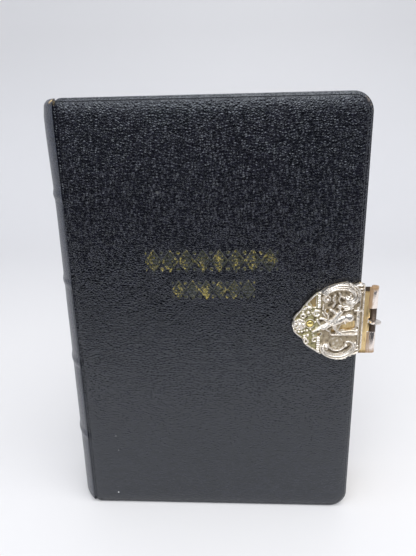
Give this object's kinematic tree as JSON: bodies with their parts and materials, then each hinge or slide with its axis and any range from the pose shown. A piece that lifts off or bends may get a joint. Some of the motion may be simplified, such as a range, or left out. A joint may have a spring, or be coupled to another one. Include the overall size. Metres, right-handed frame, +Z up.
{
  "type": "leather-bound book with clasp",
  "caption": "Upright leather-bound book with raised bands on a rounded spine and a pierced relief clasp that closes over the fore-edge.",
  "frame": {"origin": "middle of the closed book's bounding box, on the surface the book stands on", "axes": "+X from the spine to the fore-edge, +Y from the front cover to the back cover, +Z up from tail to head"},
  "size_m": [0.1232, 0.0356, 0.167],
  "materials": {
    "cover_skin": "black pebbled leather, satin, worn grey and brown at corners and edges",
    "spine_skin": "black pebbled leather, smoother and a little shinier over the spine and its bands",
    "pages": "aged page edges, darker towards the outside",
    "lining": "glued paper and cloth lining",
    "band_board": "strips of board under the leather",
    "band_thread": "sewn silk over a core, yellowed, two colours",
    "board": "pasteboard",
    "endpaper": "aged endpaper, browned at the edges",
    "gilt_plate": "gilt sheet, rubbed",
    "gilt_dome": "gilt, polished",
    "cast_silver": "silvered cast relief, grey-brown tarnish in the hollows",
    "polished_silver": "silvered, polished by wear, warm tarnish at the ends",
    "plain_silver": "silvered sheet, engraved lines, light scratches",
    "rivet_metal": "silvered rivets, worn",
    "pin_metal": "drawn wire, dulled",
    "hook_metal": "spring strip, darkened"
  },
  "bodies": {
    "block": {"text_block": "pages", "spine_lining": "lining", "raised_bands": "band_board", "spine_leather": "spine_skin", "headband": "band_thread", "tailband": "band_thread"},
    "front_cover": {"front_board": "board", "front_leather": "cover_skin", "front_pastedown": "endpaper", "front_clasp_plate": "gilt_plate", "front_ornament": "cast_silver", "front_rivets": "rivet_metal", "gilt_rivet": "gilt_dome", "catch_barrel": "polished_silver", "catch_pin": "pin_metal"},
    "back_cover": {"back_board": "board", "back_leather": "cover_skin", "back_pastedown": "endpaper", "back_clasp_plate": "plain_silver", "back_rivets": "rivet_metal", "hinge_pin": "pin_metal"},
    "clasp_arm": {"bridge": "plain_silver", "snap_hook": "hook_metal", "hook_rivets": "rivet_metal"}
  },
  "joints": [
    {"name": "front_cover_hinge", "type": "hinge", "parent": "block", "child": "front_cover", "pos_m": [-0.05402, -0.01382, 0.0835], "axis": [0, 0, -1], "range_deg": [0, 165]},
    {"name": "back_cover_hinge", "type": "hinge", "parent": "block", "child": "back_cover", "pos_m": [-0.05402, 0.01658, 0.0835], "axis": [0, 0, 1], "range_deg": [0, 165]},
    {"name": "clasp_hinge", "type": "hinge", "parent": "back_cover", "child": "clasp_arm", "pos_m": [0.05917, 0.01558, 0.086], "axis": [0, 0, 1], "range_deg": [0, 180], "deforming": ["snap_hook"]}
  ]
}
